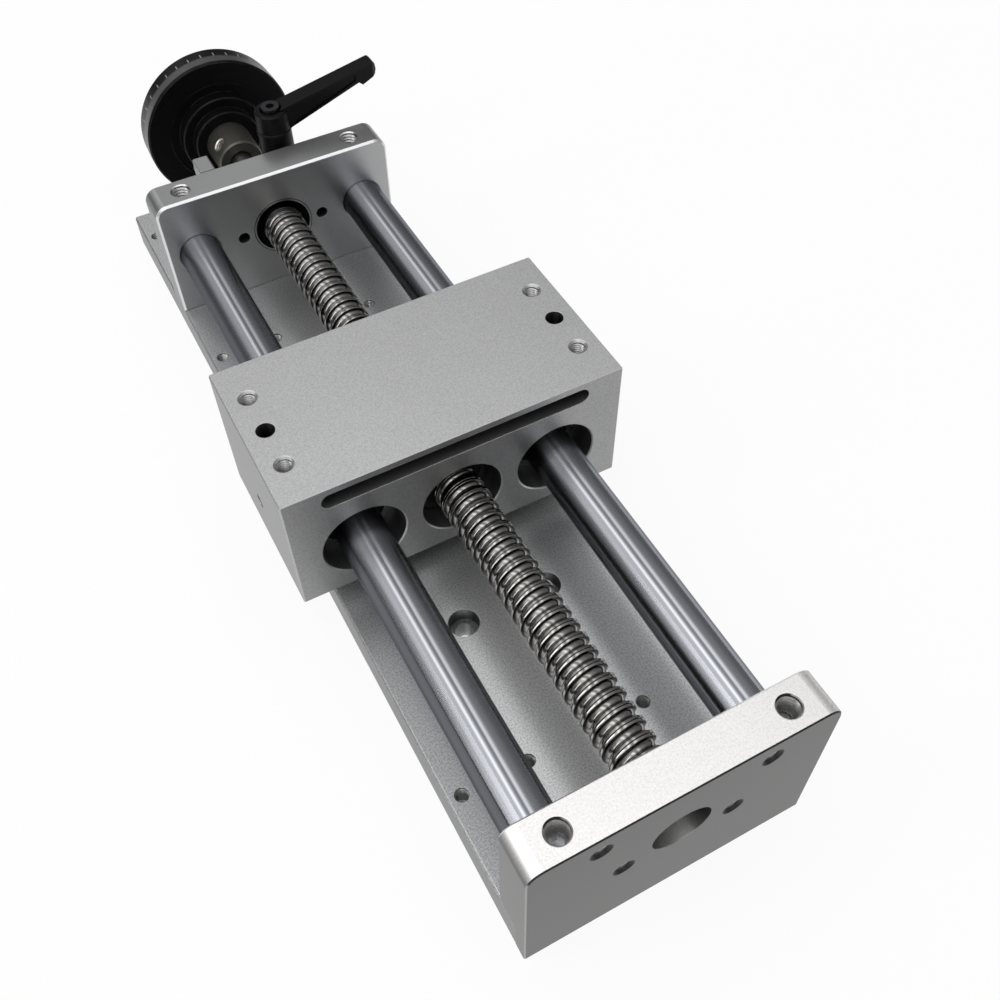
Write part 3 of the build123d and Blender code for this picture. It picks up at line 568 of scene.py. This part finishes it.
tree = CHROME.node_tree
tree.nodes["Principled BSDF"].inputs["Specular Tint"].default_value = CHROME_EDGE
rod_normal_x, _, _ = axes_of(tree, add_node(tree, "NewGeometry").outputs["Normal"])
leftward = math_node(tree, "MULTIPLY", rod_normal_x, -1.0)
multiply_paint(CHROME, ramp_node(tree, leftward, LEFT_FLANK_SHADE))
print("rods:", CHROME.name, "has", len(tree.nodes), "nodes")

# %% [markdown]
# Three more finishes change with the distance from the screw's axis or along it. The flanks
# of the rolled thread carry painted shade that makes them darker than its crest and its root,
# a sealed bearing has a rubber disc between its rings, and the dial ring has a bare band beside
# the black one.

# %% Finishes that follow the axis
AXIS_Z = (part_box("ball_screw")[0].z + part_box("ball_screw")[1].z) / 2
# a place in millimetres and the grey there
# painted shade on the thread's flanks, by distance from the screw's axis
THREAD_FLANK_SHADE = [(6.5, 0.9), (6.9, 0.8), (7.2, 0.16), (7.8, 0.10), (7.95, 0.9), (8.0, 1.0)]
SEAL_TONES = [(8.0, 0.6), (8.1, 0.012), (11.0, 0.012), (11.1, 1.0), (11.7, 1.0), (11.8, 0.05)]
BAND_TONES = [(208.9, 1.0), (209.2, 0.035)]


def axis_radius(tree):
    """Distance from the screw's axis, in millimetres."""
    across, _, height = axes_of(tree, add_node(tree, "TexCoord").outputs["Object"])
    up = math_node(tree, "SUBTRACT", height, AXIS_Z)
    across_squared = math_node(tree, "POWER", across, 2.0)
    squares = math_node(tree, "ADD", across_squared, math_node(tree, "POWER", up, 2.0))
    return math_node(tree, "DIVIDE", math_node(tree, "SQRT", squares), MM)


def along_axis(tree):
    """Place along the travel, in millimetres."""
    _, travel, _ = axes_of(tree, add_node(tree, "TexCoord").outputs["Object"])
    return math_node(tree, "DIVIDE", travel, MM)


def paint_steps(mat, measure, stops, longest):
    """Multiplies a finish by grey steps over a measure in millimetres, read up to `longest`."""
    tree = mat.node_tree
    share = math_node(tree, "DIVIDE", measure(tree), longest)
    multiply_paint(mat, ramp_node(tree, share, [(at / longest, grey) for at, grey in stops]))


SEALED = turned_metal("sealed_bearing", (0.42, 0.42, 0.42), 0.26)
DIAL_RING = turned_metal("dial_anodised", (0.09, 0.09, 0.093), 0.34, metallic=0.3, gloss=0.25)
paint_steps(ROLLED, axis_radius, THREAD_FLANK_SHADE, 10.0)
paint_steps(SEALED, axis_radius, SEAL_TONES, 16.0)
paint_steps(DIAL_RING, along_axis, BAND_TONES, 240.0)
print("axis finishes:", ROLLED.name, SEALED.name, DIAL_RING.name)

# %% [markdown]
# ## Black and bright small parts
# Blackened screws, resin, rubber and powder coat differ mostly in how rough they are. One
# noise breaks up the gloss of each, so that none looks like plastic from a mould.

# %% Plain finishes
GRAIN_CHANGE = 0.15  # how much lighter or darker a grain is than the colour


def grained(name, color, metallic, roughness, size=0.4 * MM, bump=0.2, gloss=0.5):
    """A finish with an even grain in its colour, roughness and bump."""
    mat, tree, shader = new_material(name)
    place = add_node(tree, "TexCoord").outputs["Object"]
    grain_scale = 1 / size / BLOBS_PER_UNIT
    grain = noise_node(tree, place, Scale=grain_scale, Detail=3.0, Roughness=0.6)
    tone = ramp_node(tree, grain, [(0.3, 1 - GRAIN_CHANGE), (0.7, 1 + GRAIN_CHANGE)])
    set_paint(tree, shader, color, tone)
    shader.inputs["Metallic"].default_value = metallic
    shader.inputs["Specular IOR Level"].default_value = gloss
    set_roughness(tree, shader, grain, 0.3, roughness - 0.15)
    set_relief(tree, shader, grain, bump, 0.05 * MM)
    return mat


BLACK_OXIDE = grained("black_oxide", (0.035, 0.035, 0.04), 0.6, 0.42)
BRIGHT_ZINC = grained("bright_zinc", (0.55, 0.55, 0.56), 1.0, 0.30)
DARK_STEEL = grained("dark_steel", (0.05, 0.05, 0.055), 0.9, 0.35)
RESIN = grained("resin", (0.03, 0.03, 0.03), 0.0, 0.5)
NITRILE = grained("nitrile", (0.005, 0.005, 0.005), 0.0, 0.55, gloss=0.2)
POWDER_COAT = grained(
    "powder_coat", (0.003, 0.003, 0.0034), 0.0, 0.42, size=0.5 * MM, bump=0.3, gloss=0.14
)
print("plain finishes:", BLACK_OXIDE.name, BRIGHT_ZINC.name, RESIN.name, POWDER_COAT.name)

# %% [markdown]
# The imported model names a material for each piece. One table turns each of these names into
# a finish, and a second one holds the few pieces that differ from the rest of their kind.

# %% Finish of each piece
FINISHES = {
    "anodised_plate": ALUMINIUM,
    "black_screws": BLACK_OXIDE,
    "bright_screws": BRIGHT_ZINC,
    "chrome_rod": CHROME,
    "bearing_steel": GROUND,
    "screw_steel": ROLLED,
    "dark_steel": DARK_STEEL,
    "wheel_black": BLACK_WHEEL,
    "hub_grey": COLLAR,
    "resin_cage": RESIN,
    "seal_rubber": NITRILE,
    "lever_coat": POWDER_COAT,
}
SPECIAL = {
    "idle_end_plate": IDLE_PLATE,
    "drive_end_plate": DRIVE_PLATE,
    "clamp_block": DRIVE_PLATE,
    "base_plate": BASE_PLATE,
    "ball_nut": NUT_STEEL,
    "drive_bearing_outers": SEALED,
    "dial_ring": DIAL_RING,
}
for entry in frame["record"]["subparts"]:
    mesh = nodes[entry["node"]].data
    mesh.materials.clear()
    mesh.materials.append(SPECIAL.get(entry["node"], FINISHES[entry["material_slot"]]))
print("finishes:", len(FINISHES), "and", len(SPECIAL), "for single pieces")

# %% [markdown]
# ## Making new pieces
# Each added piece is one mesh, made from a drawn section that is spun or copied. The
# helper shades it smooth except at real edges, gives it its finish and ties it to the body
# that it moves with.

# %% Helper for a finished piece


def add_piece(name, bm, body, finish, slot=None, keep_sharp=35):
    """An object from a bmesh, shaded smooth up to an angle, that moves with a body."""
    bmesh.ops.recalc_face_normals(bm, faces=bm.faces)
    mesh = bpy.data.meshes.new(name)
    bm.to_mesh(mesh)
    bm.free()
    for face in mesh.polygons:
        face.use_smooth = True
    mesh.set_sharp_from_angle(angle=math.radians(keep_sharp))
    mesh.materials.append(finish)
    piece = bpy.data.objects.new(name, mesh)
    bpy.context.scene.collection.objects.link(piece)
    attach(piece, body)
    print(name, "has", len(mesh.polygons), "faces")
    return piece


print("piece helper:", add_piece.__name__)

# %% [markdown]
# A thread repeats one turn, and a row of holes repeats one hole. It is far quicker to copy
# what is made than to spin it again, so one helper copies parts of a mesh to a new place.
# Points that then lie on each other are welded.

# %% Helpers for sections and copies
WELD = 0.002 * MM


def draw_section(bm, points, closed=False):
    """Edges through the points, as one open or closed line; returns its parts."""
    verts = [bm.verts.new(p) for p in points]
    edges = [bm.edges.new(pair) for pair in zip(verts, verts[1:])]
    if closed:
        edges.append(bm.edges.new((verts[-1], verts[0])))
    return verts + edges


def all_parts(bm):
    """Every vertex, edge and face of a bmesh, in one list."""
    return bm.verts[:] + bm.edges[:] + bm.faces[:]


def copy_moved(bm, parts, move):
    """Copies mesh parts and moves the copy by a vector in metres."""
    copied = bmesh.ops.duplicate(bm, geom=parts)["geom"]
    moved = [part for part in copied if isinstance(part, bmesh.types.BMVert)]
    bmesh.ops.translate(bm, verts=moved, vec=move)


def close_rims(bm):
    """Fills every open rim of a bmesh."""
    bmesh.ops.holes_fill(bm, edges=[e for e in bm.edges if e.is_boundary], sides=0)


print("mesh helpers:", draw_section.__name__, copy_moved.__name__, close_rims.__name__)

# %% [markdown]
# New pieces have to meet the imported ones, so most of their places are read from the packed
# model. From here on, lengths are in millimetres until a mesh is made.

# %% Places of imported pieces


def node_box(name):
    """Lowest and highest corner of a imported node, in millimetres."""
    low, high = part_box(name)
    return low / MM, high / MM


ROD_LOW, ROD_HIGH = node_box("guide_rod_left")
SHAFT_LOW, SHAFT_HIGH = node_box("ball_screw")
AXIS_HEIGHT = (ROD_LOW.z + ROD_HIGH.z) / 2
ROD_X = abs(ROD_LOW.x + ROD_HIGH.x) / 2
print("screw axis at", round(AXIS_HEIGHT, 3), "rods at", round(ROD_X, 2), "mm")

# %% [markdown]
# ## Rolled ball thread
# The thread is drawn as one pitch: a flat land with softened edges, then the two flanks of
# a gothic arc, which is what balls run in. Rolling folds a fine seam along each land.

# %% Section of the thread
PITCH, SCREW_R = 5.0, 8.0
LAND, GROOVE_DEPTH, EDGE_ROUND = 1.9, 1.25, 0.12
EDGE_IN, EDGE_DOWN = 0.03, 0.04  # the last point of a land: how far in from its end, and down
SEAM_HALF, SEAM_DEPTH = 0.2, 0.22  # the fold that rolling leaves along each land
GOTHIC = 0.12  # how much deeper the two flanks meet than one arc would
ARC_SINK = 0.08  # how far the whole arc lies below the depth above
FLANK_STEPS = 5


def thread_section():
    """(y, radius) points over one pitch, from one land's seam to the next."""
    half = LAND / 2
    chord = (PITCH - LAND) / 2
    arc_r = (chord**2 + GROOVE_DEPTH**2) / (2 * GROOVE_DEPTH)
    reach = math.asin(chord / arc_r)
    arc_middle = SCREW_R - GROOVE_DEPTH + arc_r
    edge_r = SCREW_R - EDGE_DOWN
    points = [(0, SCREW_R - SEAM_DEPTH), (SEAM_HALF, SCREW_R)]
    points += [(half - EDGE_ROUND, SCREW_R), (half - EDGE_IN, edge_r)]
    for i in range(2 * FLANK_STEPS + 1):
        share = i / FLANK_STEPS - 1
        angle = reach * share
        deeper = GOTHIC * (1 - abs(share))
        floor_r = arc_middle - arc_r * math.cos(angle) - ARC_SINK - deeper
        points.append((PITCH / 2 + arc_r * math.sin(angle), floor_r))
    points += [(PITCH - half + EDGE_IN, edge_r), (PITCH - half + EDGE_ROUND, SCREW_R)]
    points += [(PITCH - SEAM_HALF, SCREW_R), (PITCH, SCREW_R - SEAM_DEPTH)]
    return points


print("section has", len(thread_section()), "points")

# %% [markdown]
# Spun about the axis while it advances one pitch a turn, the section closes on itself and
# the turns join. One turn is copied until there are enough, and the ends are cut square.
# Right-hand thread means that it advances along +Y as it turns from +Z to +X.

# %% Ball screw
CREST_AT = -37.29  # where a land's middle crosses the top of the screw
TURN_STEPS = 40
THREAD_START, THREAD_END = -131.25, 131.25
CUT_SNAP = 0.001 * MM  # points this near to a cut count as on it


def ball_thread():
    """The threaded length, cut square at both ends and closed there."""
    bm = bmesh.new()
    first = CREST_AT - PITCH * math.ceil((CREST_AT - THREAD_START) / PITCH + 1)
    turns_needed = math.ceil((THREAD_END - first) / PITCH + 1)
    points = [(0, (first + y) * MM, (AXIS_HEIGHT + r) * MM) for y, r in thread_section()]
    bmesh.ops.spin(
        bm,
        geom=draw_section(bm, points),
        cent=(0, 0, AXIS_HEIGHT * MM),
        axis=(0, 1, 0),
        dvec=(0, PITCH / TURN_STEPS * MM, 0),
        angle=2 * math.pi,
        steps=TURN_STEPS,
        use_merge=False,
    )
    turns_made = 1
    while turns_made < turns_needed:
        copy_moved(bm, all_parts(bm), (0, turns_made * PITCH * MM, 0))
        turns_made *= 2
    bmesh.ops.remove_doubles(bm, verts=bm.verts, dist=WELD)
    for y, outward in ((THREAD_START, -1), (THREAD_END, 1)):
        bmesh.ops.bisect_plane(
            bm,
            geom=all_parts(bm),
            plane_co=(0, y * MM, 0),
            plane_no=(0, outward, 0),
            clear_outer=True,
            dist=CUT_SNAP,
        )
    close_rims(bm)
    return bm


bm = ball_thread()
heights = [v.co.y / MM for v in bm.verts]
print("thread from", round(min(heights), 2), "to", round(max(heights), 2), "mm")
add_piece("rolled_ball_screw", bm, "screw", ROLLED, "screw_steel", keep_sharp=40)

# %% [markdown]
# The journals at both ends are turned down in steps. Each is a closed lathe piece that
# starts just inside the threaded length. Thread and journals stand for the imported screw.

# %% Turned journals
INNER_SPAN = 264.5
PLATE, CLAMP, LOCK_NUT = 14.0, 16.0, 5.0
PAST_CLAMP = 4
DRIVE_OUTER = INNER_SPAN / 2 + PLATE
SHAFT_BREAK = 0.5
INTO_THREAD = 0.5
IDLE_R, SHOULDER_R, NECK_R = 4, 5.5, 7.5
BEARING_R, CLAMPED_R, WHEEL_R = 6, 5, 4


def lathe(bm, outline, steps=64):
    """A full turn of (y, radius) points about the screw's axis, closed at both ends."""
    section = draw_section(bm, [(0, y * MM, (AXIS_HEIGHT + r) * MM) for y, r in outline])
    bmesh.ops.spin(
        bm,
        geom=section,
        cent=(0, 0, AXIS_HEIGHT * MM),
        axis=(0, 1, 0),
        angle=2 * math.pi,
        steps=steps,
        use_merge=True,
    )
    bmesh.ops.remove_doubles(bm, verts=bm.verts, dist=WELD)


front_journal = (
    (SHAFT_LOW.y, 0),
    (SHAFT_LOW.y, IDLE_R - SHAFT_BREAK),
    (SHAFT_LOW.y + SHAFT_BREAK, IDLE_R),
    (-INNER_SPAN / 2, IDLE_R),
    (-INNER_SPAN / 2, SHOULDER_R),
    (THREAD_START + INTO_THREAD, SHOULDER_R),
    (THREAD_START + INTO_THREAD, 0),
)
back_journal = (
    (THREAD_END - INTO_THREAD, 0),
    (THREAD_END - INTO_THREAD, NECK_R),
    (INNER_SPAN / 2, NECK_R),
    (INNER_SPAN / 2, BEARING_R),
    (DRIVE_OUTER + LOCK_NUT, BEARING_R),
    (DRIVE_OUTER + LOCK_NUT, CLAMPED_R),
    (DRIVE_OUTER + CLAMP + PAST_CLAMP, CLAMPED_R),
    (DRIVE_OUTER + CLAMP + PAST_CLAMP, WHEEL_R),
    (SHAFT_HIGH.y - SHAFT_BREAK, WHEEL_R),
    (SHAFT_HIGH.y, WHEEL_R - SHAFT_BREAK),
    (SHAFT_HIGH.y, 0),
)
bm = bmesh.new()
lathe(bm, front_journal)
lathe(bm, back_journal)
journals = add_piece("screw_journals", bm, "screw", GROUND, "screw_steel")
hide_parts("ball_screw")
print("shaft from", round(SHAFT_LOW.y, 2), "to", round(SHAFT_HIGH.y, 2), "mm")

# %% [markdown]
# ## Dial graduations
# The rear band of the dial ring carries a pale line every ten degrees. Each is a thin bar
# of paint that starts at the bevel and stands just proud of the band.

# %% Dial lines
BAND_START, BAND_R = 209.35, 31.15
LINE_COUNT, LINE_LONG, LINE_WIDE, LINE_PROUD = 36, 2.4, 0.4, 0.05


def dial_lines():
    """Painted bars round the dial's rear band."""
    bm = bmesh.new()
    size = Matrix.Diagonal((LINE_WIDE, LINE_LONG, 2 * LINE_PROUD, 1.0))
    out = Matrix.Translation((0, BAND_START + LINE_LONG / 2, BAND_R))
    lift = Matrix.Translation((0, 0, AXIS_HEIGHT))
    for i in range(LINE_COUNT):
        bar = bmesh.ops.create_cube(bm, size=1.0)["verts"]
        turned = Matrix.Rotation(2 * math.pi * i / LINE_COUNT, 4, "Y")
        placed = Matrix.Scale(MM, 4) @ lift @ turned @ out @ size
        bmesh.ops.transform(bm, matrix=placed, verts=bar)
    return bm


DIAL_PAINT = grained("dial_paint", (0.30, 0.30, 0.29), 0.0, 0.5)
add_piece("dial_lines", dial_lines(), "screw", DIAL_PAINT, keep_sharp=30)
print("a line every", 360 // LINE_COUNT, "degrees")

# %% [markdown]
# ## Tapped holes
# A tapped hole shows its thread as a ridge that winds down the wall. The ridge is a small
# triangle with a blunt crest, spun about the hole's axis while it moves along it, with its
# foot hidden just inside the wall. Holes of one kind share one ridge, which is copied.

# %% Thread ridges
RIDGE_STEPS = 24
FOOT_HIDDEN = 0.03
CREST_FROM, CREST_TO = 0.44, 0.56  # where along the pitch the blunt crest lies


def thread_ridge(bm, mouths, down, radius, pitch, depth, height):
    """Adds the same ridge to each hole, from its mouth along `down`, in millimetres."""
    mouths = [Vector(m) for m in mouths]
    down = Vector(down).normalized()
    side = down.orthogonal().normalized()
    foot, crest = radius + FOOT_HIDDEN, radius - height
    corners = ((foot, 0), (crest, CREST_FROM * pitch), (crest, CREST_TO * pitch), (foot, pitch))
    one = bmesh.new()
    points = [(mouths[0] + side * r + down * d) * MM for r, d in corners]
    bmesh.ops.spin(
        one,
        geom=draw_section(one, points, closed=True),
        cent=mouths[0] * MM,
        axis=down,
        dvec=down * pitch / RIDGE_STEPS * MM,
        angle=2 * math.pi,
        steps=RIDGE_STEPS,
        use_merge=False,
    )
    first_turn = all_parts(one)
    for turn_index in range(1, max(int(depth / pitch) - 1, 1)):
        copy_moved(one, first_turn, down * pitch * turn_index * MM)
    bmesh.ops.remove_doubles(one, verts=one.verts, dist=WELD)
    close_rims(one)
    ridge = all_parts(one)
    for mouth in mouths[1:]:
        copy_moved(one, ridge, (mouth - mouths[0]) * MM)
    bmesh.ops.recalc_face_normals(one, faces=one.faces)
    spare = bpy.data.meshes.new("ridge")
    one.to_mesh(spare)
    one.free()
    bm.from_mesh(spare)
    bpy.data.meshes.remove(spare)


print("ridges of", RIDGE_STEPS, "steps a turn")

# %% [markdown]
# The end plates are tapped over the rods, the idle end plate is tapped for a cover, and the
# base is tapped near its edges. A ridge starts a little under the surface, below the broken
# edge of its hole.

# %% Tapped holes of the frame
IDLE_LOW, IDLE_HIGH = node_box("idle_end_plate")
DRIVE_HIGH = node_box("drive_end_plate")[1]
BASE_HIGH = node_box("base_plate")[1]
BOTH = (-1, 1)
DOWNWARD, INTO_FACE = (0, 0, -1), (0, 1, 0)
# radius, pitch, depth and ridge height of each kind of hole
ROD_SCREW_THREAD = (3.37, 1.25, 9.0, 0.45)
COVER_THREAD = (2.5, 0.9, 9.0, 0.35)
BASE_THREAD = (2.25, 0.8, 9.0, 0.32)
TAPPED = grained("tapped_aluminium", (0.46, 0.455, 0.45), 0.9, 0.36)

plate_middles = (IDLE_HIGH.y - PLATE / 2, DRIVE_HIGH.y - PLATE / 2)
over_rods = [(s * ROD_X, y, IDLE_HIGH.z - 0.5) for s in BOTH for y in plate_middles]
cover_spots = ((25.5, 54.8), (17.2, 32.8))
cover_holes = [(s * x, IDLE_LOW.y + 1.0, z) for s in BOTH for x, z in cover_spots]
base_spots = ((20, -101), (20, 101), (42, -101), (42, 101), (42, BASE_HIGH.y - 16.5))
base_holes = [(s * x, y, BASE_HIGH.z - 0.3) for s in BOTH for x, y in base_spots]
bm = bmesh.new()
thread_ridge(bm, over_rods, DOWNWARD, *ROD_SCREW_THREAD)
thread_ridge(bm, cover_holes, INTO_FACE, *COVER_THREAD)
thread_ridge(bm, base_holes, DOWNWARD, *BASE_THREAD)
add_piece("frame_tapped_threads", bm, "frame", TAPPED, "anodised_plate", keep_sharp=40)
print("tapped:", len(over_rods), "over rods,", len(cover_holes), "cover,", len(base_holes), "base")

# %% [markdown]
# The table's four tapped holes are deeper. Their ridges are a piece of their own, because
# they slide with the carriage.

# %% Tapped holes of the carriage
TABLE_THREAD = (2.5, 0.9, 14.0, 0.35)
CARRIAGE_LOW, CARRIAGE_HIGH = node_box("carriage_block")
CARRIAGE_REST = (CARRIAGE_LOW.y + CARRIAGE_HIGH.y) / 2

table_spots = [(x, y) for x in (-50, 50) for y in (-15, 15)]
table_holes = [(x, CARRIAGE_REST + y, CARRIAGE_HIGH.z - 0.8) for x, y in table_spots]
bm = bmesh.new()
thread_ridge(bm, table_holes, DOWNWARD, *TABLE_THREAD)
add_piece("carriage_tapped_threads", bm, "carriage", TAPPED, "anodised_plate", keep_sharp=40)
print("carriage rests at", round(CARRIAGE_REST, 2), "mm")

# %% [markdown]
# The collar on the wheel's hub is bored for a large set screw that is turned in below the
# surface. The thread above it was cut after the collar was coloured, so it is bare metal.

# %% Bare thread of the collar
SET_SCREW_TILT = math.radians(44)
COLLAR_THREAD = (3.0, 0.75, 2.3, 0.5)
MOUTH_SUNK = 0.45  # how far the ridge starts under the collar's surface
COLLAR_LOW, COLLAR_HIGH = node_box("hub_collar")
SET_LOW, SET_HIGH = node_box("hub_set_screw")
BARE_STEEL = grained("bare_steel", (0.50, 0.47, 0.43), 0.9, 0.30)

collar_radius = (COLLAR_HIGH.z - COLLAR_LOW.z) / 2
outward = Vector((-math.sin(SET_SCREW_TILT), 0, math.cos(SET_SCREW_TILT)))
on_axis = Vector((0, (SET_LOW.y + SET_HIGH.y) / 2, AXIS_HEIGHT))
mouth = on_axis + outward * (collar_radius - MOUTH_SUNK)
bm = bmesh.new()
thread_ridge(bm, [mouth], -outward, *COLLAR_THREAD)
add_piece("collar_thread", bm, "screw", BARE_STEEL, "bright_screws", keep_sharp=40)
print("collar radius", round(collar_radius, 2), "mm")
